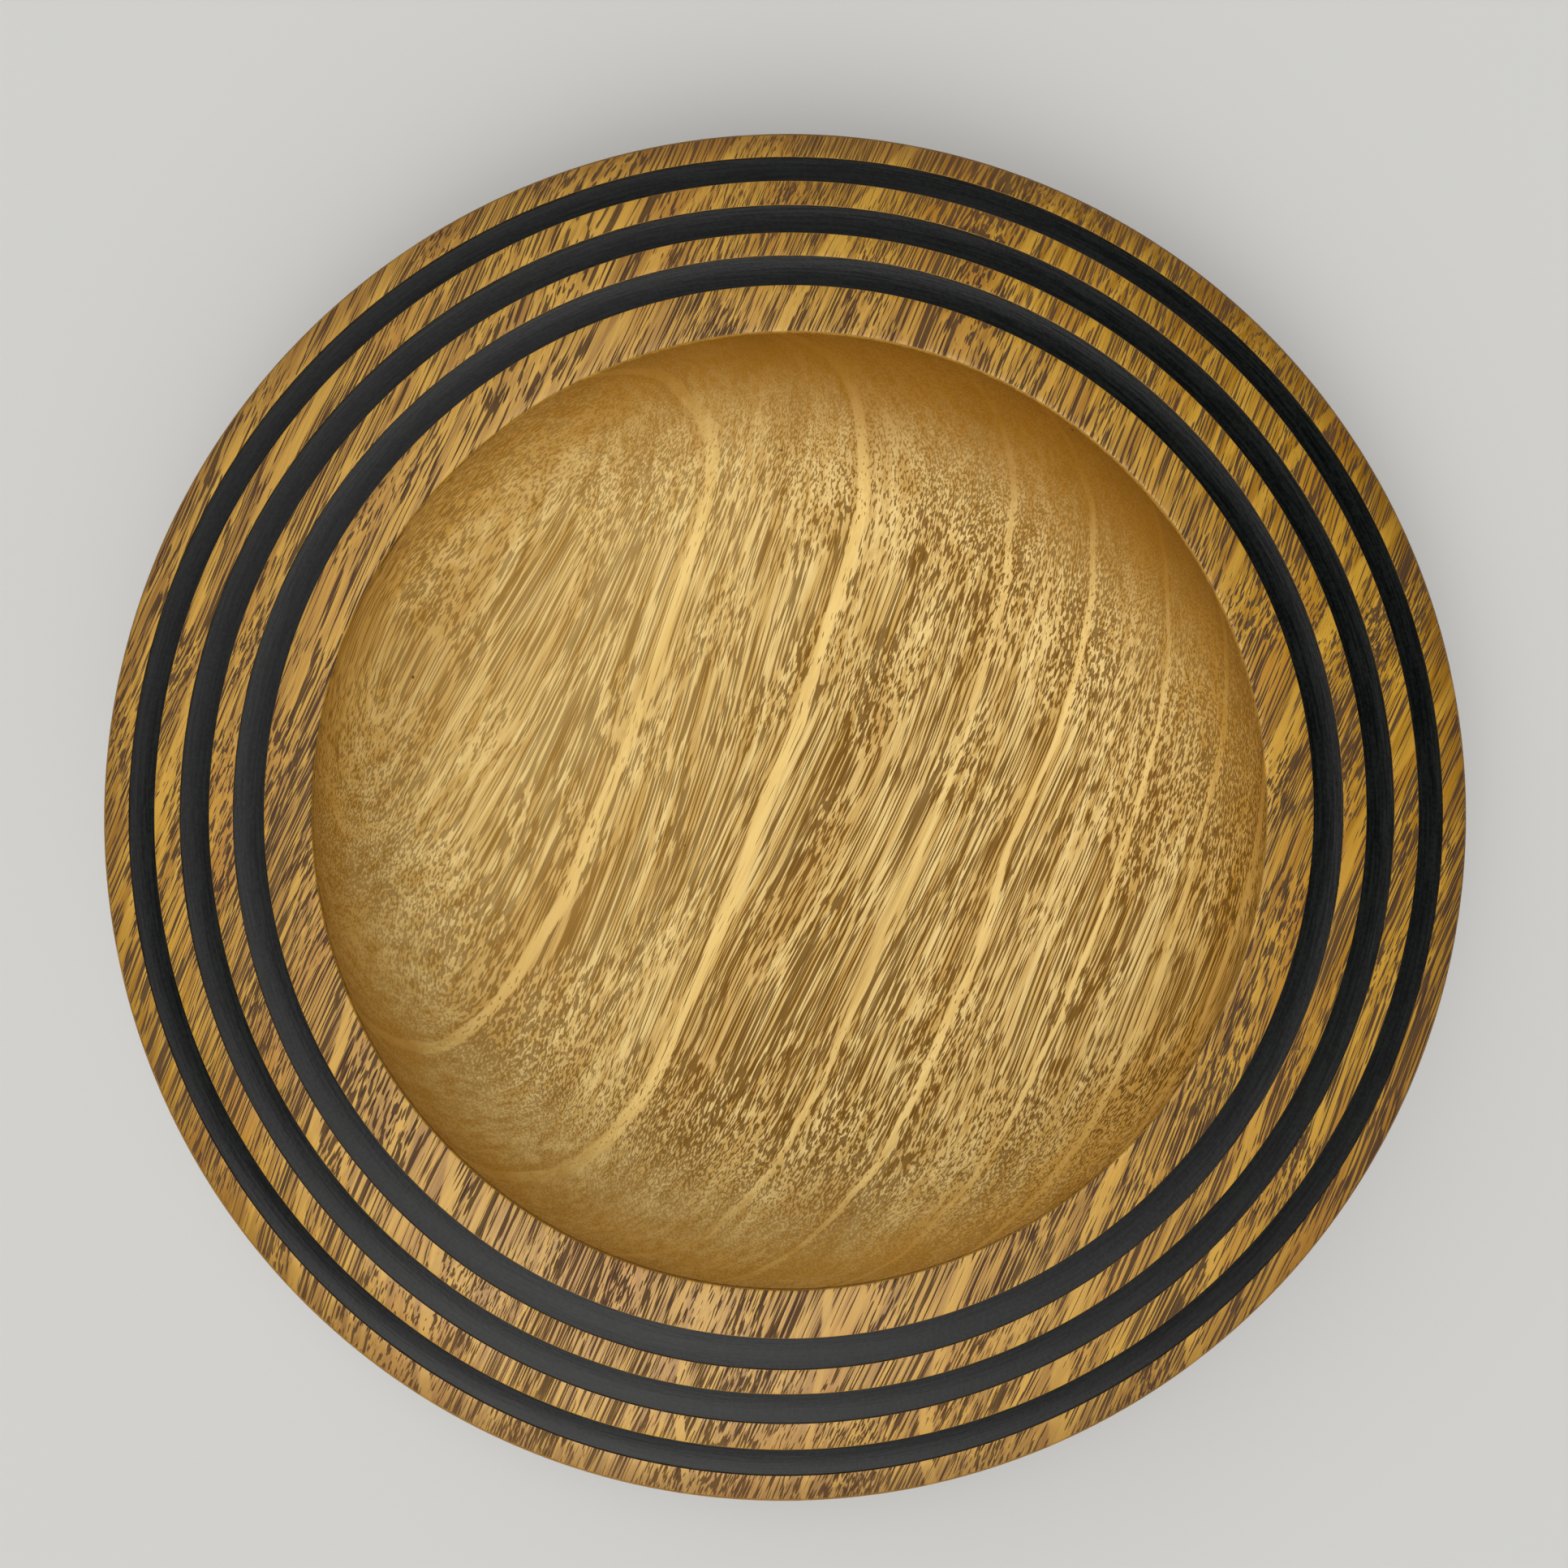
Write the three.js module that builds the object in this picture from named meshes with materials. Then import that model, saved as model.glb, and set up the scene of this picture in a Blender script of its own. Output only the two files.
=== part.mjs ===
import * as THREE from 'three';

// A shallow bowl turned from one block of hardwood, with a broad rim that falls away
// from the lip of the well and three black rings let into grooves in that rim.
// Millimetres, +Z up. The origin is on the ground, under the middle of the foot.

// Overall sizes
const bowlRadius = 125; // centre to the outer edge of the rim
const bowlHeight = 42; // ground to the lip of the well, before its corner is rounded
const floorThickness = 12; // ground to the lowest point of the well

// The rim, counted from the outer edge inwards: each ring with the wood stripe outside it
const rimRings = [
  { name: 'inlay_ring_outer', stripe: 5.0, width: 5.0 },
  { name: 'inlay_ring_middle', stripe: 4.9, width: 5.5 },
  { name: 'inlay_ring_inner', stripe: 4.5, width: 5.7 },
];
const lipStripe = 8.9; // wood between the innermost ring and the well
const lipSlope = 6; // degrees that the rim falls at the lip
const edgeSlope = 22; // degrees that it falls at the outer edge
const edgeThickness = 7; // upright band around the outer edge
const edgeRound = 1.4; // corners of that band
const lipRound = 0.8; // corner between the rim and the well

// Grooves and the rings that fill them
const grooveDepth = 3.2; // below the rim at the groove's middle
const inlayRecess = 0.35; // how far a ring's top edges lie below the rim
const inlayDip = 0.3; // how much lower its top is along the middle
const inlayClearance = 0.3; // between a ring and the walls and floor of its groove

// The well: a flat-bottomed curve that turns upright at the lip
const wellFullness = 5; // higher is flatter across the floor and tighter in the cove

// The underside and the foot
const footRadius = 57;
const footHeight = 4; // the belly starts this far above the ground
const footTaper = 1; // how much narrower the foot is at the ground
const footRingWidth = 9; // flat ring that the bowl stands on
const footRound = 0.8; // corners of that ring
const footRecess = 2.5; // hollow turned inside it
const underRimReach = 26; // how far the underside of the rim runs level
const bellyReach = 28; // how far the belly bulges past the foot
const bellyRise = 8; // degrees that the belly climbs as it leaves the foot

// Steps around the bowl and along its curves
const aroundSteps = 64;
const cornerSteps = 2;
const bellySteps = 10;
const wellSteps = 14;
const inlaySteps = 4;

const wood = { color: '#a9783c', roughness: 0.45, metalness: 0 };
const blackResin = { color: '#2b2d2e', roughness: 0.55, metalness: 0 };

const point = (radius, height) => new THREE.Vector2(radius, height);
const slopeSine = (degrees) => Math.sin(THREE.MathUtils.degToRad(degrees));

const rimWidth = rimRings.reduce((sum, ring) => sum + ring.stripe + ring.width, lipStripe);
const wellRadius = bowlRadius - rimWidth;
const wellDepth = bowlHeight - floorThickness;

// The top of the rim is an arc that steepens from the lip slope to the edge slope.
const rimArc = rimWidth / (slopeSine(edgeSlope) - slopeSine(lipSlope));

function rimTop(radius) {
  const sine = slopeSine(lipSlope) + (radius - wellRadius) / rimArc;
  const fall = rimArc * (Math.sqrt(1 - slopeSine(lipSlope) ** 2) - Math.sqrt(1 - sine ** 2));
  return bowlHeight - fall;
}

// A rounded corner between two points, as a curve that leans on the sharp corner.
function roundedCorner(from, corner, to) {
  return new THREE.QuadraticBezierCurve(from, corner, to).getPoints(cornerSteps);
}

// Each ring's groove: its two walls and its floor.
function grooves() {
  let outer = bowlRadius;
  return rimRings.map((ring) => {
    outer -= ring.stripe;
    const inner = outer - ring.width;
    const groove = { name: ring.name, inner, outer, floor: rimTop((inner + outer) / 2) - grooveDepth };
    outer = inner;
    return groove;
  });
}

function footOutline() {
  const standing = footRadius - footTaper;
  const inside = standing - footRingWidth;
  return [
    point(0, footRecess),
    point(inside - footRound, footRecess),
    ...roundedCorner(point(inside, footRound), point(inside, 0), point(inside + footRound, 0)),
    ...roundedCorner(point(standing - footRound, 0), point(standing, 0), point(standing, footRound)),
  ];
}

function undersideOutline(edgeBottom) {
  const rise = THREE.MathUtils.degToRad(bellyRise);
  const start = point(footRadius, footHeight);
  const end = point(bowlRadius - edgeRound, edgeBottom);
  const leaving = point(start.x + bellyReach * Math.cos(rise), start.y + bellyReach * Math.sin(rise));
  const arriving = point(end.x - underRimReach, end.y);
  return new THREE.CubicBezierCurve(start, leaving, arriving, end).getPoints(bellySteps);
}

function edgeOutline(edgeBottom) {
  const edgeTop = rimTop(bowlRadius);
  const onRim = bowlRadius - edgeRound;
  const lowest = point(bowlRadius, edgeBottom);
  const highest = point(bowlRadius, edgeTop);
  return [
    ...roundedCorner(point(onRim, edgeBottom), lowest, point(bowlRadius, edgeBottom + edgeRound)),
    ...roundedCorner(point(bowlRadius, edgeTop - edgeRound), highest, point(onRim, rimTop(onRim))),
  ];
}

// The rim from the outer edge to the lip, dipping into each groove on the way.
function rimOutline() {
  const outline = [];
  for (const groove of grooves()) {
    outline.push(
      point(groove.outer, rimTop(groove.outer)),
      point(groove.outer, groove.floor),
      point(groove.inner, groove.floor),
      point(groove.inner, rimTop(groove.inner)),
    );
  }
  const middle = wellRadius + lipStripe / 2;
  outline.push(point(middle, rimTop(middle)));
  return outline;
}

// The well from the lip to the middle of its floor.
function wellOutline() {
  const onRim = wellRadius + lipRound;
  const lipAngle = Math.acos(lipRound / wellDepth);
  const outline = [];
  for (let step = wellSteps; step >= 0; step -= 1) {
    const angle = (lipAngle * step) / wellSteps;
    const radius = wellRadius * Math.sin(angle) ** (2 / wellFullness);
    outline.push(point(radius, bowlHeight - wellDepth * Math.cos(angle)));
  }
  const lip = roundedCorner(point(onRim, rimTop(onRim)), point(wellRadius, bowlHeight), outline[0]);
  return [...lip, ...outline.slice(1)];
}

function bowlOutline() {
  const edgeBottom = rimTop(bowlRadius) - edgeThickness;
  return [
    ...footOutline(),
    ...undersideOutline(edgeBottom),
    ...edgeOutline(edgeBottom),
    ...rimOutline(),
    ...wellOutline(),
  ];
}

// A ring lies on its groove's floor and ends in a slightly hollow top below the rim.
function inlayOutline(groove) {
  const inner = groove.inner + inlayClearance;
  const outer = groove.outer - inlayClearance;
  const bottom = groove.floor + inlayClearance;
  const top = [];
  for (let step = 0; step <= inlaySteps; step += 1) {
    const across = step / inlaySteps;
    const radius = outer + (inner - outer) * across;
    const dip = inlayDip * Math.sin(Math.PI * across);
    top.push(point(radius, rimTop(radius) - inlayRecess - dip));
  }
  return [point(inner, bottom), point(outer, bottom), ...top, point(inner, bottom)];
}

// Turns an outline about the upright axis, leaving out points that repeat the one before.
function turned(name, outline, finish) {
  const points = outline.filter((here, index) => index === 0 || here.distanceTo(outline[index - 1]) > 0.001);
  const geometry = new THREE.LatheGeometry(points, aroundSteps);
  geometry.rotateX(Math.PI / 2);
  const mesh = new THREE.Mesh(geometry, new THREE.MeshStandardMaterial(finish));
  mesh.name = name;
  return mesh;
}

const bowl = new THREE.Group();
bowl.add(turned('bowl_body', bowlOutline(), wood));
for (const groove of grooves()) {
  bowl.add(turned(groove.name, inlayOutline(groove), blackResin));
}

export default bowl;
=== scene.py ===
import math

import bpy
from mathutils import Matrix, Vector


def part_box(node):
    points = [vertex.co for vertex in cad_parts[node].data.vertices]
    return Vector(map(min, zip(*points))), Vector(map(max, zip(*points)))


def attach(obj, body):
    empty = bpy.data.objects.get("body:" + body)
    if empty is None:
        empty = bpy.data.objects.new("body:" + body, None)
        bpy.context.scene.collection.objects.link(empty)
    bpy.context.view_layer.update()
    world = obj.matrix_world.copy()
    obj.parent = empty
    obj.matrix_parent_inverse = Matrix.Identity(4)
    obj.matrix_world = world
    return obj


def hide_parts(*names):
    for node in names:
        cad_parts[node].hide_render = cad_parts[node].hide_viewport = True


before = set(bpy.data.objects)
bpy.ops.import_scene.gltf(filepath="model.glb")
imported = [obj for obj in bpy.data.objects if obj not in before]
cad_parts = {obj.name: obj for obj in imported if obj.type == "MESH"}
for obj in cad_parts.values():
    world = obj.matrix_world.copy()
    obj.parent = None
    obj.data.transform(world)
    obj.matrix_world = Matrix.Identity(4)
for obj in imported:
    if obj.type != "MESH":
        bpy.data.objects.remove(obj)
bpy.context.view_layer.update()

mm = 0.001
scene = bpy.context.scene
scene.view_settings.view_transform = "Standard"  # wood colours come out as mixed


# Short ways to write nodes

def addNode(tree, kind, inputs=None, **settings):
    made = tree.nodes.new(kind)
    for name, value in settings.items():
        setattr(made, name, value)
    for key, value in (inputs or {}).items():
        plug(tree, made.inputs[key], value)
    return made


def plug(tree, socket, value):
    if isinstance(value, bpy.types.NodeSocket):
        tree.links.new(value, socket)
    else:
        socket.default_value = value


def calc(tree, operation, *values, clamp=False):
    made = addNode(tree, "ShaderNodeMath", operation=operation, use_clamp=clamp)
    for index, value in enumerate(values):
        plug(tree, made.inputs[index], value)
    return made.outputs[0]


def vectorCalc(tree, operation, first, second):
    made = addNode(tree, "ShaderNodeVectorMath", operation=operation)
    plug(tree, made.inputs[0], first)
    plug(tree, made.inputs[1], second)
    return made.outputs["Value" if operation == "DOT_PRODUCT" else "Vector"]


def noiseOf(tree, place, detail=2.0, roughness=0.5, output="Fac"):
    wanted = {"Vector": place, "Scale": 1.0, "Detail": detail, "Roughness": roughness}
    return addNode(tree, "ShaderNodeTexNoise", wanted).outputs[output]


def remap(tree, value, low, high, toLow=0.0, toHigh=1.0):
    wanted = {"Value": value, "From Min": low, "From Max": high, "To Min": toLow, "To Max": toHigh}
    return addNode(tree, "ShaderNodeMapRange", wanted, interpolation_type="SMOOTHSTEP").outputs[0]


def mixColour(tree, factor, first, second, mode="MIX"):
    made = addNode(tree, "ShaderNodeMix", data_type="RGBA", blend_type=mode)
    for index, value in ((0, factor), (6, first), (7, second)):
        plug(tree, made.inputs[index], value)
    return made.outputs[2]


def startGroup(name, inputs, outputs):
    tree = bpy.data.node_groups.new(name, "ShaderNodeTree")
    for label, kind, value in inputs:
        socket = tree.interface.new_socket(label, in_out="INPUT", socket_type=kind)
        if value is not None:
            socket.default_value = value
    for label, kind in outputs:
        tree.interface.new_socket(label, in_out="OUTPUT", socket_type=kind)
    return tree, addNode(tree, "NodeGroupInput").outputs, addNode(tree, "NodeGroupOutput").inputs


def useGroup(tree, group, inputs):
    return addNode(tree, "ShaderNodeGroup", inputs, node_tree=group).outputs


def shade(red, green, blue):
    return tuple(((c / 255 + 0.055) / 1.055) ** 2.4 for c in (red, green, blue)) + (1.0,)


numberSocket, vectorSocket = "NodeSocketFloat", "NodeSocketVector"


# The block of wood: where its fibres and growth rings run, in mm

block = {
    "fibreAngle": 67.0,  # degrees from +X that the fibres run, seen from above
    "ringTilt": 43.0,  # degrees that the growth rings lean over
    "fans": [
        # where across the block, how wide, and how much the fibres there turn, as a slope
        (-62.0, 26.0, -0.15),
        (-20.0, 22.0, 0.10),
        (60.0, 40.0, 0.04),
    ],
    "fanLength": 50.0,
    "sway": 2.6,  # how far the fibres sway sideways
    "swaySize": (52.0, 110.0, 70.0),  # across, along and up
    "plunge": 2.4,  # how far they rise and dive
    "plungeSize": (17.0, 52.0, 34.0),
    "ringWander": 1.3,  # how far a growth ring strays
    "wanderSize": (22.0, 40.0, 22.0),
    "seasonSkew": 0.035,  # turn of the growth rings away from the fibres
    "seasons": [
        # where across the growth rings, width and strength of each pale line
        (-88, 1.6, 0.6), (-70, 1.3, 0.7), (-54, 1.8, 0.8), (-36, 1.0, 0.12),
        (-17, 1.5, 0.75), (4, 1.8, 0.85), (27, 1.0, 0.4), (40, 1.0, 0.7),
        (56, 0.8, 0.7), (70, 1.2, 0.8), (84, 1.6, 0.7), (98, 1.4, 0.7),
    ],
    "lateWidth": 1.2,
}
fibreTurn = math.radians(block["fibreAngle"])
ringLean = math.radians(block["ringTilt"])
fibreWay = Vector((math.cos(fibreTurn), math.sin(fibreTurn), 0))
sideWay = Vector((math.sin(fibreTurn), -math.cos(fibreTurn), 0))


def centredNoise(tree, place, size, reach, detail=1.0):
    noise = noiseOf(tree, vectorCalc(tree, "DIVIDE", place, size), detail)
    return calc(tree, "MULTIPLY", calc(tree, "SUBTRACT", noise, 0.5), 4 * reach)


def ringTurned(tree, across, along, up):
    cosine, sine = math.cos(ringLean), math.sin(ringLean)
    ring = calc(tree, "MULTIPLY_ADD", across, cosine, calc(tree, "MULTIPLY", up, sine))
    through = calc(tree, "MULTIPLY_ADD", across, -sine, calc(tree, "MULTIPLY", up, cosine))
    return addNode(tree, "ShaderNodeCombineXYZ", {0: ring, 1: along, 2: through}).outputs[0], ring


def makeGrainField():
    tree, given, result = startGroup(
        "grainField",
        [("Place", vectorSocket, None), ("Rise", numberSocket, 1.0)],
        [("Grain", vectorSocket), ("Season", numberSocket)],
    )
    place = vectorCalc(tree, "MULTIPLY", given["Place"], (1000, 1000, 1000))
    across = vectorCalc(tree, "DOT_PRODUCT", place, sideWay)
    along = vectorCalc(tree, "DOT_PRODUCT", place, fibreWay)
    up = addNode(tree, "ShaderNodeSeparateXYZ", {0: place}).outputs[2]
    straight = addNode(tree, "ShaderNodeCombineXYZ", {0: across, 1: along, 2: up}).outputs[0]
    sway = centredNoise(tree, straight, block["swaySize"], block["sway"])
    plunge = centredNoise(tree, straight, block["plungeSize"], block["plunge"])
    swing = calc(tree, "SINE", calc(tree, "DIVIDE", along, block["fanLength"]))
    fan = 0.0
    for middle, width, slope in block["fans"]:
        away = calc(tree, "ABSOLUTE", calc(tree, "SUBTRACT", across, middle))
        fan = calc(tree, "ADD", fan, remap(tree, away, 0.0, width, slope * block["fanLength"], 0.0))
    swayed = calc(tree, "ADD", calc(tree, "MULTIPLY_ADD", swing, fan, across), sway)
    risen = calc(tree, "MULTIPLY_ADD", up, given["Rise"], plunge)
    grain, _ = ringTurned(tree, swayed, along, risen)
    plug(tree, result["Grain"], grain)
    skewed = calc(tree, "MULTIPLY_ADD", along, block["seasonSkew"], across)
    _, ring = ringTurned(tree, skewed, along, up)
    wander = centredNoise(tree, straight, block["wanderSize"], block["ringWander"], 2.0)
    plug(tree, result["Season"], calc(tree, "ADD", ring, wander))
    return tree


def makeSeasonMap():
    tree, given, result = startGroup(
        "seasonMap",
        [("Season", numberSocket, 0.0)],
        [("Pale", numberSocket), ("Late", numberSocket)],
    )
    pale, late = 0.0, 0.0
    for end, width, strength in block["seasons"]:
        offset = calc(tree, "SUBTRACT", given["Season"], end)
        away = calc(tree, "ABSOLUTE", calc(tree, "SUBTRACT", offset, width / 2))
        fade = remap(tree, away, width * 0.35, width * 0.65, strength, 0.0)
        pale = calc(tree, "MAXIMUM", pale, fade)
        before = calc(tree, "ABSOLUTE", calc(tree, "ADD", offset, block["lateWidth"] / 2))
        shadow = remap(tree, before, 0.1, block["lateWidth"] * 0.8, strength, 0.0)
        late = calc(tree, "MAXIMUM", late, shadow)
    plug(tree, result["Pale"], pale)
    plug(tree, result["Late"], late)
    return tree


pores = {
    # sizes in mm across the growth rings, along the fibres and through them
    "streakSize": (0.31, 34.0, 0.42),
    "dashSize": (0.56, 34.0, 0.56),
    "fibreSize": (0.3, 12.0, 0.3),
    "bandSize": (1.1, 30.0, 3.2),
    "patchSize": (7.0, 90.0, 16.0),
    "warmthSize": (9.0, 70.0, 14.0),
    "streakStrength": 0.9,
}


def makePoreStreaks():
    tree, given, result = startGroup(
        "poreStreaks",
        [("Grain", vectorSocket, None), ("Crowding", numberSocket, 0.5)],
        [("Pores", numberSocket), ("Fibres", numberSocket), ("Bands", numberSocket)],
    )
    streak = noiseOf(tree, vectorCalc(tree, "DIVIDE", given["Grain"], pores["streakSize"]), 1.0, 0.5)
    edge = remap(tree, given["Crowding"], 0.0, 1.0, 0.62, 0.42)
    streak = remap(tree, calc(tree, "SUBTRACT", streak, edge), 0.0, 0.045)
    celled = vectorCalc(tree, "DIVIDE", given["Grain"], pores["dashSize"])
    cells = addNode(tree, "ShaderNodeTexVoronoi", {"Vector": celled, "Scale": 1.0})
    size = remap(tree, given["Crowding"], 0.0, 1.0, 0.14, 0.42)
    dash = remap(tree, calc(tree, "SUBTRACT", size, cells.outputs["Distance"]), -0.02, 0.07)
    streak = calc(tree, "MULTIPLY", streak, pores["streakStrength"])
    plug(tree, result["Pores"], calc(tree, "MAXIMUM", streak, dash))
    fine = noiseOf(tree, vectorCalc(tree, "DIVIDE", given["Grain"], pores["fibreSize"]), 1.0)
    plug(tree, result["Fibres"], fine)
    banded = noiseOf(tree, vectorCalc(tree, "DIVIDE", given["Grain"], pores["bandSize"]), 1.5)
    plug(tree, result["Bands"], banded)
    return tree


def makeHandlingAndEdgeShade():
    tree, given, result = startGroup(
        "handlingAndEdgeShade",
        [("Place", vectorSocket, None), ("Amount", numberSocket, 1.0)],
        [("Rub", numberSocket), ("Specks", numberSocket), ("EdgeShade", numberSocket)],
    )
    place = vectorCalc(tree, "MULTIPLY", given["Place"], (1000, 1000, 1000))
    rub = noiseOf(tree, vectorCalc(tree, "MULTIPLY", place, (0.05, 0.05, 0.05)), 3.0, 0.6)
    plug(tree, result["Rub"], calc(tree, "MULTIPLY", rub, given["Amount"]))
    cells = addNode(tree, "ShaderNodeTexVoronoi", {"Vector": place, "Scale": 0.16})
    chance = addNode(tree, "ShaderNodeSeparateColor", {0: cells.outputs["Color"]}).outputs[1]
    rare = remap(tree, chance, 0.93, 0.96)
    dot = remap(tree, cells.outputs["Distance"], 0.035, 0.06, 1.0, 0.0)
    plug(tree, result["Specks"], calc(tree, "MULTIPLY", dot, rare))
    flat = vectorCalc(tree, "MULTIPLY", place, (1, 1, 0))
    reach = addNode(tree, "ShaderNodeVectorMath", {0: flat}, operation="LENGTH").outputs["Value"]
    # painted shade: a mask rising across the outer edge band, 118.5 to 124 mm out
    plug(tree, result["EdgeShade"], remap(tree, reach, 118.5, 124.0))
    return tree


grainField = makeGrainField()
seasonMap = makeSeasonMap()
poreStreaks = makePoreStreaks()
handlingAndEdgeShade = makeHandlingAndEdgeShade()


# Wood finishes: one mixture, three sets of values

woods = {
    # Each wood's end-grain tone also carries painted shade: at one end of the fibres and at the outer edge.
    "rimWood": {
        "pale": shade(189, 144, 46), "deep": shade(139, 95, 8), "pore": shade(44, 18, 0),
        "seasonLine": shade(192, 148, 52), "endGrainAndShadeTone": shade(92, 52, 0), "warm": shade(162, 110, 20),
        "wall": shade(180, 120, 20), "wallStrength": 0.0,
        "poreStrength": 0.95, "endGrainAndShadeStrength": 0.70, "crowding": 0.50,
        "roughness": 0.36, "bump": 0.30, "shine": 0.5,
        "paintedEdgeShade": 0.35,  # painted shade: darker near the outer edge, which slopes away from the sheen
        "shadedEnd": 1.0,  # which end of the fibres is darkened in full: painted shade on the bowl's side toward fibreWay
        "faintSide": 1.0,  # pore strength on one side of the block
        "rise": 0.25,  # how much height counts where it faces up
    },
    "wellWood": {
        "pale": shade(221, 193, 127), "deep": shade(183, 145, 75), "pore": shade(96, 60, 0),
        "seasonLine": shade(228, 194, 118), "endGrainAndShadeTone": shade(128, 82, 0), "warm": shade(186, 146, 78),
        "wall": shade(216, 160, 56), "wallStrength": 0.5,  # its steep parts
        "poreStrength": 0.94, "endGrainAndShadeStrength": 0.88, "crowding": 0.58,
        "roughness": 0.46, "bump": 0.20, "shine": 0.10,
        "paintedEdgeShade": 0.0, "shadedEnd": -1.0, "faintSide": 0.66, "rise": 1.0,
    },
    "footWood": {
        "pale": shade(196, 150, 68), "deep": shade(150, 104, 32), "pore": shade(70, 34, 4),
        "seasonLine": shade(196, 150, 62), "endGrainAndShadeTone": shade(104, 64, 8), "warm": shade(172, 116, 28),
        "wall": shade(180, 120, 20), "wallStrength": 0.0,
        "poreStrength": 0.90, "endGrainAndShadeStrength": 0.70, "crowding": 0.55,
        "roughness": 0.48, "bump": 0.30, "shine": 0.3,
        "paintedEdgeShade": 0.25, "shadedEnd": 1.0, "faintSide": 1.0, "rise": 1.0,
    },
}


def makeWood(name):
    look = woods[name]
    material = bpy.data.materials.new(name)
    material.use_nodes = True
    tree = material.node_tree
    skin = tree.nodes["Principled BSDF"]
    where = addNode(tree, "ShaderNodeTexCoord").outputs
    level = addNode(tree, "ShaderNodeSeparateXYZ", {0: where["Normal"]}).outputs[2]
    rise = remap(tree, level, 0.45, 0.85, 1.0, look["rise"])
    field = useGroup(tree, grainField, {"Place": where["Object"], "Rise": rise})
    season = useGroup(tree, seasonMap, {"Season": field["Season"]})
    patch = noiseOf(tree, vectorCalc(tree, "DIVIDE", field["Grain"], pores["patchSize"]), 2.0)
    patchiness = calc(tree, "MULTIPLY", calc(tree, "SUBTRACT", patch, 0.5), 1.1)
    crowding = calc(tree, "ADD", patchiness, look["crowding"])
    crowding = calc(tree, "SUBTRACT", crowding, calc(tree, "MULTIPLY", season["Pale"], 1.2), clamp=True)
    streaks = useGroup(tree, poreStreaks, {"Grain": field["Grain"], "Crowding": crowding})
    wearAndEdgeShade = useGroup(tree, handlingAndEdgeShade, {"Place": where["Object"]})

    # Surfaces facing along the fibres darken towards the end-grain tone, at full strength on the bowl's
    # side toward fibreWay and 0.15 on the other. The end grain is real; the one-sided difference is painted
    # shade.
    facing = vectorCalc(tree, "DOT_PRODUCT", where["Normal"], fibreWay)
    endOn = calc(tree, "ABSOLUTE", facing)
    facing = calc(tree, "MULTIPLY", facing, look["shadedEnd"])
    endGrainAndShadeMask = remap(tree, facing, 0.10, 0.95)
    endGrainAndShadeMask = calc(tree, "ADD", endGrainAndShadeMask, remap(tree, calc(tree, "MULTIPLY", facing, -1.0), 0.10, 0.95, 0.0, 0.15))

    banded = calc(tree, "MULTIPLY", streaks["Bands"], 0.6)
    ground = calc(tree, "MULTIPLY_ADD", streaks["Fibres"], 0.4, banded)
    base = mixColour(tree, remap(tree, ground, 0.32, 0.66), look["deep"], look["pale"])
    warmth = noiseOf(tree, vectorCalc(tree, "DIVIDE", field["Grain"], pores["warmthSize"]), 2.0)
    base = mixColour(tree, remap(tree, warmth, 0.48, 0.74, 0.0, 0.7), base, look["warm"])
    base = mixColour(tree, calc(tree, "MULTIPLY", season["Late"], 0.7), base, look["deep"])
    lines = calc(tree, "MULTIPLY", season["Pale"], remap(tree, level, 0.55, 0.97, 0.25, 0.7))
    base = mixColour(tree, lines, base, look["seasonLine"])
    base = mixColour(tree, remap(tree, level, 0.9, 0.3, 0.0, look["wallStrength"]), base, look["wall"])
    base = mixColour(tree, calc(tree, "MULTIPLY", endGrainAndShadeMask, look["endGrainAndShadeStrength"]), base, look["endGrainAndShadeTone"])
    # painted shade: the outer edge band darkened towards the end-grain tone
    base = mixColour(tree, calc(tree, "MULTIPLY", wearAndEdgeShade["EdgeShade"], look["paintedEdgeShade"]), base, look["endGrainAndShadeTone"])
    depth = calc(tree, "MULTIPLY", streaks["Pores"], look["poreStrength"])
    depth = calc(tree, "MULTIPLY", depth, remap(tree, endOn, 0.15, 0.85, 1.0, 0.28))
    sideFade = remap(tree, field["Season"], -30.0, 20.0, look["faintSide"], 1.0)
    depth = calc(tree, "MULTIPLY", depth, sideFade)
    base = mixColour(tree, depth, base, look["pore"])
    base = mixColour(tree, calc(tree, "MULTIPLY", wearAndEdgeShade["Specks"], 0.8), base, shade(50, 28, 12))
    plug(tree, skin.inputs["Base Color"], base)
    skin.inputs["Specular IOR Level"].default_value = look["shine"]

    gloss = calc(tree, "MULTIPLY_ADD", calc(tree, "SUBTRACT", wearAndEdgeShade["Rub"], 0.5), 0.25, look["roughness"])
    gloss = calc(tree, "ADD", gloss, calc(tree, "MULTIPLY", streaks["Pores"], 0.5))
    plug(tree, skin.inputs["Roughness"], gloss)
    ridges = calc(tree, "MULTIPLY", streaks["Fibres"], 0.35)
    relief = calc(tree, "MULTIPLY_ADD", streaks["Pores"], -1.0, ridges)
    raised = {"Height": relief, "Strength": look["bump"], "Distance": 0.08 * mm}
    bump = addNode(tree, "ShaderNodeBump", raised)
    plug(tree, skin.inputs["Normal"], bump.outputs["Normal"])
    return material


# Black resin filling

resin = {
    "black": (0.0004, 0.0010, 0.0009, 1.0),
    "grey": (0.0056, 0.0074, 0.0064, 1.0),
    "dust": shade(120, 118, 112),
    "roughness": 0.38,
    "shine": 0.24,
}


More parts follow.
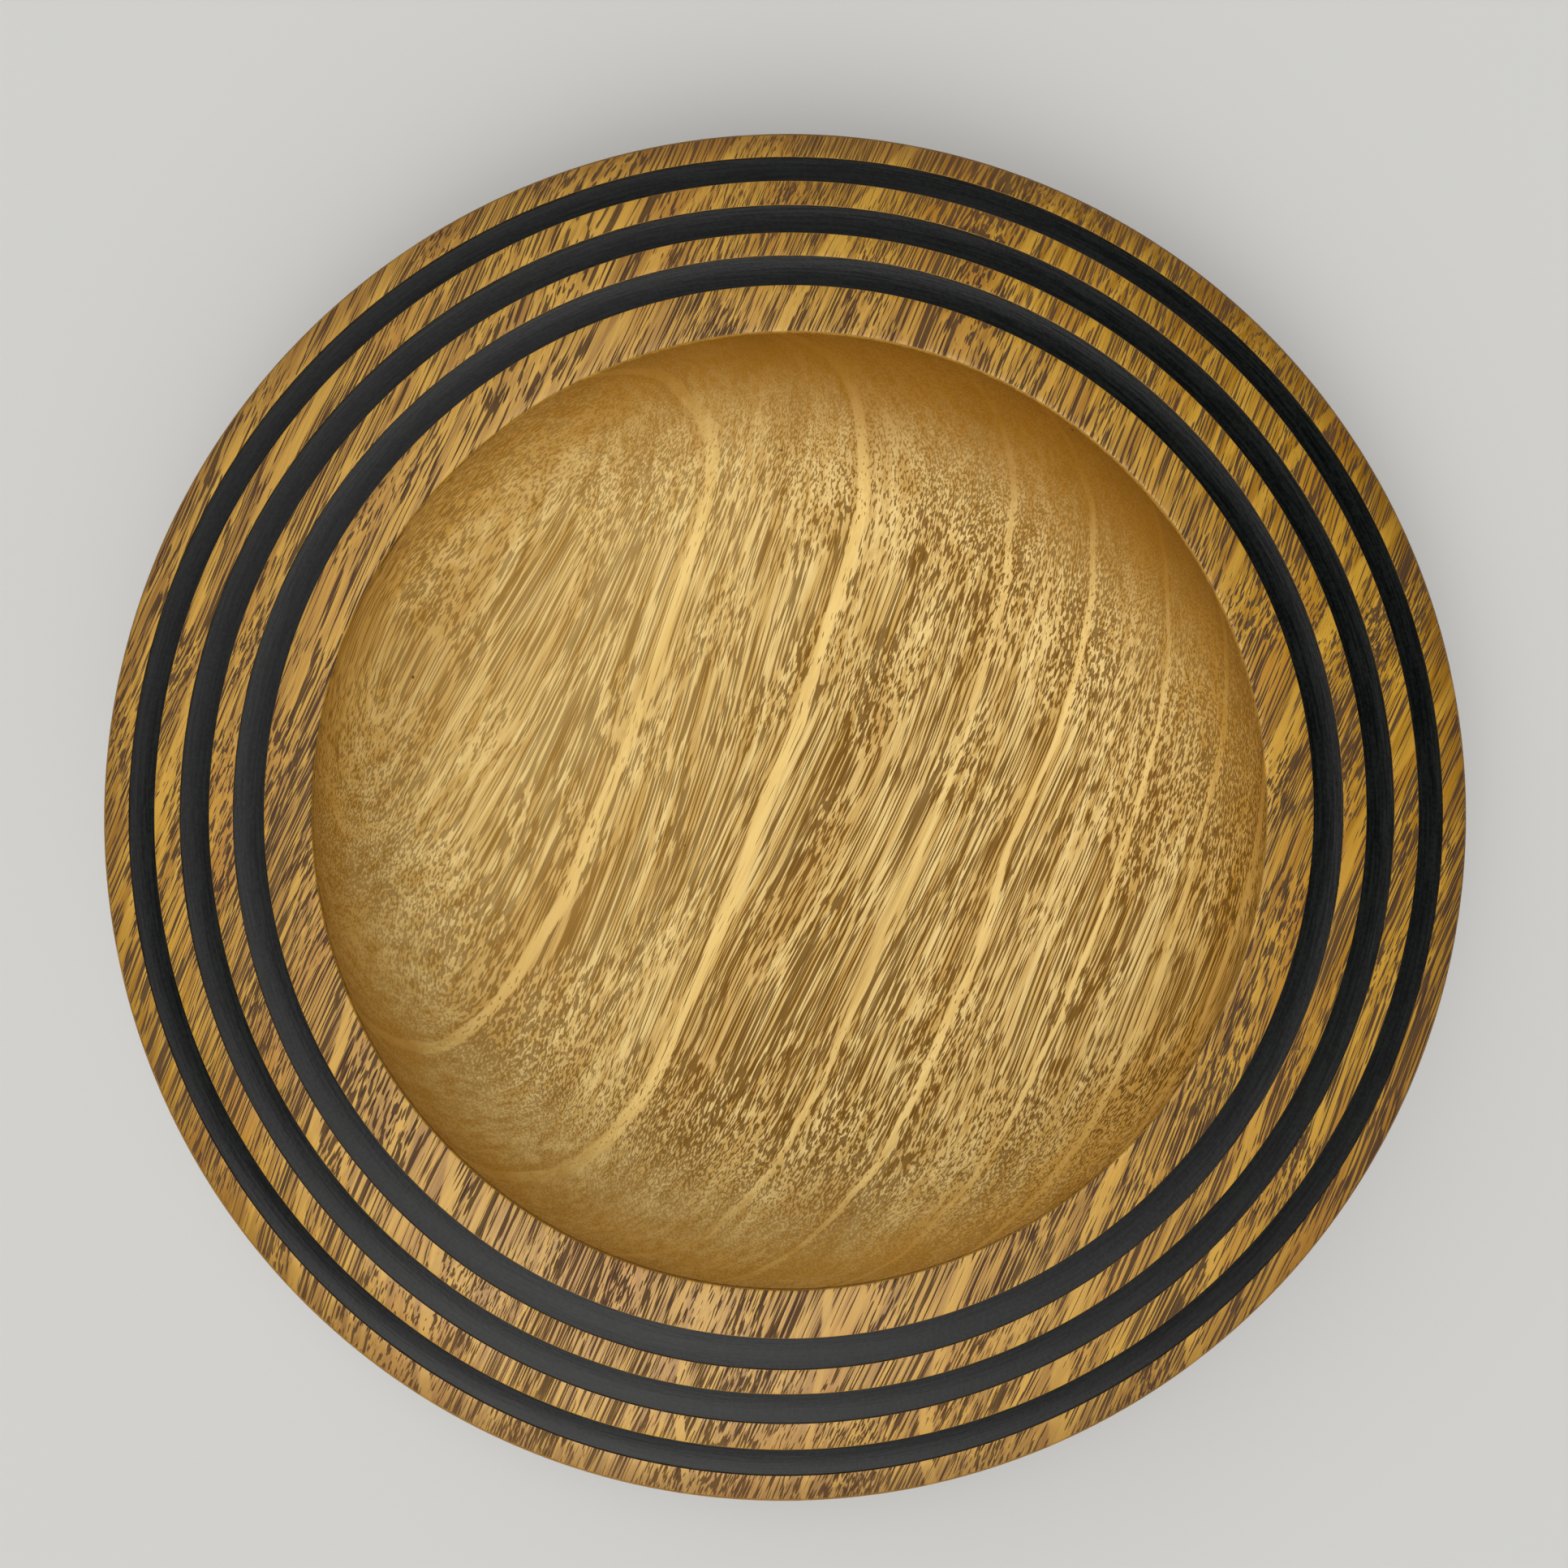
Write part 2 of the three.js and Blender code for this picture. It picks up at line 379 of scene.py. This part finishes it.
def makeResin():
    material = bpy.data.materials.new("blackResin")
    material.use_nodes = True
    tree = material.node_tree
    skin = tree.nodes["Principled BSDF"]
    where = addNode(tree, "ShaderNodeTexCoord").outputs
    place = vectorCalc(tree, "MULTIPLY", where["Object"], (1000, 1000, 1000))
    parts = addNode(tree, "ShaderNodeSeparateXYZ", {0: place}).outputs
    turn = calc(tree, "ARCTAN2", parts[1], parts[0])
    squares = [calc(tree, "POWER", parts[index], 2.0) for index in (0, 1)]
    out = calc(tree, "SQRT", calc(tree, "ADD", *squares))
    swept = {0: calc(tree, "MULTIPLY", turn, 9.0), 1: calc(tree, "MULTIPLY", out, 1.6)}
    combed = addNode(tree, "ShaderNodeCombineXYZ", swept)
    streaks = noiseOf(tree, combed.outputs[0], 3.0, 0.6)
    cloud = noiseOf(tree, vectorCalc(tree, "MULTIPLY", place, (1.3, 1.3, 1.3)), 3.0)
    wearAndEdgeShade = useGroup(tree, handlingAndEdgeShade, {"Place": where["Object"]})
    tone = calc(tree, "MULTIPLY_ADD", streaks, 0.6, calc(tree, "MULTIPLY", cloud, 0.4))
    base = mixColour(tree, remap(tree, tone, 0.40, 0.62), resin["black"], resin["grey"])
    base = mixColour(tree, calc(tree, "MULTIPLY", wearAndEdgeShade["Specks"], 0.7), base, resin["dust"])
    plug(tree, skin.inputs["Base Color"], base)
    skin.inputs["Specular IOR Level"].default_value = resin["shine"]
    gloss = calc(tree, "MULTIPLY_ADD", streaks, 0.25, resin["roughness"] - 0.12)
    plug(tree, skin.inputs["Roughness"], gloss)
    height = calc(tree, "MULTIPLY_ADD", cloud, 0.5, streaks)
    bump = addNode(tree, "ShaderNodeBump", {"Height": height, "Strength": 0.4, "Distance": 0.15 * mm})
    plug(tree, skin.inputs["Normal"], bump.outputs["Normal"])
    return material


print("finishes mixed")


# The bowl's turned shape, in mm

bowl = {
    "height": 42.0,  # ground to the lip, before its corner is rounded
    "floorThickness": 12.0,
    "wellFullness": 5.0,
    "lipStripe": 8.9,
    "lipSlope": 6.0,
    "edgeSlope": 22.0,
    "edgeThickness": 7.0,
    "edgeRound": 0.7,
    "lipRound": 0.8,
    "footRadius": 57.0,
    "footHeight": 4.0,
    "footTaper": 1.0,
    "footRing": 9.0,
    "footRound": 0.8,
    "footRecess": 2.5,
    "underReach": 26.0,
    "bellyReach": 28.0,
    "bellyRise": 8.0,
    "grooveDepth": 3.2,
    "grooveArris": 0.12,
    "shrinkage": 0.0055,  # dried a little narrower across the grain
    "around": 384,
}
rings = {
    "widths": {"inlay_ring_outer": 5.0, "inlay_ring_middle": 5.5, "inlay_ring_inner": 5.7},
    "clearance": 0.3,  # that the plain solids keep from their grooves
    "recess": 0.35,
    "dip": 0.3,
    "steps": 16,
}
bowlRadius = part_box("bowl_body")[1].x / mm


def ringSpans():
    spans = {}
    for node, width in rings["widths"].items():
        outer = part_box(node)[1].x / mm + rings["clearance"]
        spans[node] = (outer - width, outer)
    return spans


spans = ringSpans()
wellRadius = spans["inlay_ring_inner"][0] - bowl["lipStripe"]
wellDepth = bowl["height"] - bowl["floorThickness"]
lipSine = math.sin(math.radians(bowl["lipSlope"]))
edgeSine = math.sin(math.radians(bowl["edgeSlope"]))
rimArc = (bowlRadius - wellRadius) / (edgeSine - lipSine)


def rimTop(radius):
    sine = lipSine + (radius - wellRadius) / rimArc
    return bowl["height"] - rimArc * (math.sqrt(1 - lipSine**2) - math.sqrt(1 - sine**2))


def corner(start, sharp, end, steps=6):
    points = []
    for step in range(steps + 1):
        t = step / steps
        ways = zip(start, sharp, end)
        points.append(tuple((1 - t) ** 2 * a + 2 * t * (1 - t) * b + t * t * c for a, b, c in ways))
    return points


def sweep(start, leaving, arriving, end, steps):
    points = []
    for step in range(steps + 1):
        t = step / steps
        weights = ((1 - t) ** 3, 3 * t * (1 - t) ** 2, 3 * t * t * (1 - t), t**3)
        pulls = list(zip(weights, (start, leaving, arriving, end)))
        points.append(tuple(sum(weight * pull[k] for weight, pull in pulls) for k in (0, 1)))
    return points


def underOutline():
    standing = bowl["footRadius"] - bowl["footTaper"]
    inside = standing - bowl["footRing"]
    rounding = bowl["footRound"]
    hollow = [(inside * step / 10, bowl["footRecess"]) for step in range(10)]
    recess = bowl["footRecess"]
    points = hollow + corner((inside - 1.6, recess), (inside - 0.4, recess), (inside, rounding), 5)
    points += corner((inside, rounding), (inside, 0), (inside + rounding, 0))
    points += corner((standing - rounding, 0), (standing, 0), (standing, rounding))
    rise = math.radians(bowl["bellyRise"])
    start = (bowl["footRadius"], bowl["footHeight"])
    reach = bowl["bellyReach"]
    leaving = (start[0] + reach * math.cos(rise), start[1] + reach * math.sin(rise))
    edgeBottom = rimTop(bowlRadius) - bowl["edgeThickness"]
    end = (bowlRadius - bowl["edgeRound"], edgeBottom)
    points += sweep(start, leaving, (end[0] - bowl["underReach"], edgeBottom), end, 48)
    points += corner(end, (bowlRadius, edgeBottom), (bowlRadius, edgeBottom + bowl["edgeRound"]))
    return points


def rimOutline():
    top, onRim = rimTop(bowlRadius), bowlRadius - bowl["edgeRound"]
    points = corner((bowlRadius, top - bowl["edgeRound"]), (bowlRadius, top), (onRim, rimTop(onRim)))
    arris = bowl["grooveArris"]
    for inner, outer in spans.values():
        floor = rimTop((inner + outer) / 2) - bowl["grooveDepth"]
        points += rimRun(points[-1][0], outer + arris)
        points += corner(points[-1], (outer, rimTop(outer)), (outer, rimTop(outer) - arris), 3)
        points += [(outer, floor), (inner, floor)]
        onto = (inner - arris, rimTop(inner - arris))
        points += corner((inner, rimTop(inner) - arris), (inner, rimTop(inner)), onto, 3)
    onLip = wellRadius + bowl["lipRound"]
    points += rimRun(points[-1][0], onLip)
    return points + corner(points[-1], (wellRadius, bowl["height"]), wellOutline()[0])


def rimRun(start, end):
    steps = max(2, round(abs(end - start) / 1.2))
    radii = [start + (end - start) * step / steps for step in range(1, steps + 1)]
    return [(radius, rimTop(radius)) for radius in radii]


def wellOutline():
    lipAngle = math.acos(bowl["lipRound"] / wellDepth)
    points = []
    steps = 72
    for step in range(steps, -1, -1):
        angle = lipAngle * (step / steps) ** 1.25
        radius = wellRadius * math.sin(angle) ** (2 / bowl["wellFullness"])
        points.append((radius, bowl["height"] - wellDepth * math.cos(angle)))
    return points


def ringOutline(inner, outer):
    floor = rimTop((inner + outer) / 2) - bowl["grooveDepth"] + 0.02
    inner, outer = inner + 0.01, outer - 0.01
    points = [(inner, floor), (outer, floor)]
    for step in range(rings["steps"] + 1):
        share = step / rings["steps"]
        radius = outer + (inner - outer) * share
        points.append((radius, rimTop(radius) - rings["recess"] - rings["dip"] * math.sin(math.pi * share)))
    return points


def turned(name, zones, materials, closed=False):
    around = bowl["around"]
    points, kinds = [], []
    for kind, outline in enumerate(zones):
        for point in outline:
            if not points or math.dist(point, points[-1]) > 0.002:
                points.append(point)
                kinds.append(kind)
    verts, faces, slots, loops = [], [], [], []
    for radius, height in points:
        first = len(verts)
        if radius < 0.001:
            verts.append((0, 0, height * mm))
            loops.append([first] * around)
            continue
        for step in range(around):
            angle = math.tau * step / around
            spot = Vector((radius * math.cos(angle), radius * math.sin(angle), height))
            spot -= sideWay * spot.dot(sideWay) * bowl["shrinkage"]
            verts.append(spot * mm)
        loops.append(list(range(first, first + around)))
    pairs = list(zip(range(len(points) - 1), range(1, len(points))))
    if closed:
        pairs.append((len(points) - 1, 0))
    for here, there in pairs:
        for step in range(around):
            after = (step + 1) % around
            face = [loops[here][step], loops[here][after], loops[there][after], loops[there][step]]
            face = list(dict.fromkeys(face))
            faces.append(face)
            slots.append(kinds[there])
    mesh = bpy.data.meshes.new(name)
    mesh.from_pydata(verts, [], faces)
    for material in materials:
        mesh.materials.append(material)
    mesh.polygons.foreach_set("material_index", slots)
    mesh.shade_smooth()
    mesh.set_sharp_from_angle(angle=math.radians(32))
    mesh.validate()
    piece = bpy.data.objects.new(name, mesh)
    scene.collection.objects.link(piece)
    return piece


footWood, rimWood, wellWood = makeWood("footWood"), makeWood("rimWood"), makeWood("wellWood")
zones = [underOutline(), rimOutline(), wellOutline()]
turnedBowl = turned("turnedBowl", zones, [footWood, rimWood, wellWood])
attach(turnedBowl, "root")
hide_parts("bowl_body")
print("bowl turned")

blackResin = makeResin()
ringNames = {
    "inlay_ring_outer": "outerBlackRing",
    "inlay_ring_middle": "middleBlackRing",
    "inlay_ring_inner": "innerBlackRing",
}
for node, (inner, outer) in spans.items():
    ring = turned(ringNames[node], [ringOutline(inner, outer)], [blackResin], closed=True)
    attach(ring, "root")
    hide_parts(node)
print("rings filled")


# Table

table = {"size": 6.0, "white": (0.425, 0.426, 0.418, 1.0), "glow": 0.11, "roughness": 0.7}


def makeTable():
    mesh = bpy.data.meshes.new("table")
    half = table["size"] / 2
    corners = [(-half, -half, 0), (half, -half, 0), (half, half, 0), (-half, half, 0)]
    mesh.from_pydata(corners, [], [(0, 1, 2, 3)])
    piece = bpy.data.objects.new("table", mesh)
    scene.collection.objects.link(piece)
    material = bpy.data.materials.new("tableTop")
    material.use_nodes = True
    skin = material.node_tree.nodes["Principled BSDF"]
    skin.inputs["Base Color"].default_value = table["white"]
    skin.inputs["Roughness"].default_value = table["roughness"]
    skin.inputs["Emission Color"].default_value = table["white"]
    skin.inputs["Emission Strength"].default_value = table["glow"] / table["white"][0]
    mesh.materials.append(material)


makeTable()


# Camera, nearly straight above

camera = {
    "lens": 55.9,
    "distance": 0.444,
    "lean": 3.15,  # degrees away from straight down
    "leanTowards": 239.4,  # the side it leans to, degrees from +X
    "aim": (-0.0012, 0.0044, 0.0325),
}


def placeCamera():
    lean, side = math.radians(camera["lean"]), math.radians(camera["leanTowards"])
    back = Vector((math.sin(lean) * math.cos(side), math.sin(lean) * math.sin(side), math.cos(lean)))
    right = Vector((0, 1, 0)).cross(back).normalized()
    up = back.cross(right)
    turn = Matrix((right, up, back)).transposed().to_4x4()
    lensData = bpy.data.cameras.new("camera")
    lensData.lens = camera["lens"]
    lensData.clip_start, lensData.clip_end = 0.01, 20
    seen = bpy.data.objects.new("camera", lensData)
    seen.matrix_world = Matrix.Translation(Vector(camera["aim"]) + back * camera["distance"]) @ turn
    scene.collection.objects.link(seen)
    scene.camera = seen


placeCamera()


# Light: a pale room with brighter and darker sides, and a soft lamp overhead

light = {
    "low": 0.08,  # brightness of the room near the table
    "high": 0.72,  # and overhead
    "tint": (1.0, 0.99, 0.97, 1.0),
    "seen": (0.72, 0.72, 0.71, 1.0),
    "bright": [
        # degrees round from +X, degrees down from overhead, degrees across, extra light
        (262.0, 44.0, 44.0, 1.15),
        (252.0, 30.0, 26.0, 3.10),
        (62.0, 72.0, 26.0, 0.80),
        (148.0, 40.0, 42.0, 0.50),
        (78.0, 12.0, 18.0, 6.2),
    ],
    "dark": [
        (32.0, 50.0, 50.0, 1.0),
        (200.0, 66.0, 36.0, 0.70),
    ],
}


def aimedWay(turn, down):
    turn, down = math.radians(turn), math.radians(down)
    return Vector((math.cos(turn) * math.sin(down), math.sin(turn) * math.sin(down), math.cos(down)))


def lightRoom():
    world = bpy.data.worlds.new("room")
    world.use_nodes = True
    scene.world = world
    tree = world.node_tree
    back = tree.nodes["Background"]
    way = addNode(tree, "ShaderNodeTexCoord").outputs["Generated"]
    height = addNode(tree, "ShaderNodeSeparateXYZ", {0: way}).outputs[2]
    level = remap(tree, height, 0.0, 0.80, light["low"], light["high"])
    for turn, down, width, extra in light["bright"]:
        facing = vectorCalc(tree, "DOT_PRODUCT", way, aimedWay(turn, down))
        glow = remap(tree, facing, math.cos(math.radians(width)), 1.0, 0.0, extra)
        level = calc(tree, "ADD", level, glow)
    for turn, down, width, share in light["dark"]:
        facing = vectorCalc(tree, "DOT_PRODUCT", way, aimedWay(turn, down))
        outside, inside = math.cos(math.radians(width)), math.cos(math.radians(width * 0.4))
        left = remap(tree, facing, outside, inside, 1.0, 1.0 - share)
        level = calc(tree, "MULTIPLY", level, left)
    seen = addNode(tree, "ShaderNodeLightPath").outputs["Is Camera Ray"]
    plug(tree, back.inputs["Color"], mixColour(tree, seen, light["tint"], light["seen"]))
    unseen = calc(tree, "SUBTRACT", 1.0, seen)
    plug(tree, back.inputs["Strength"], calc(tree, "MULTIPLY_ADD", level, unseen, seen))


lightRoom()
print("camera and lights set")
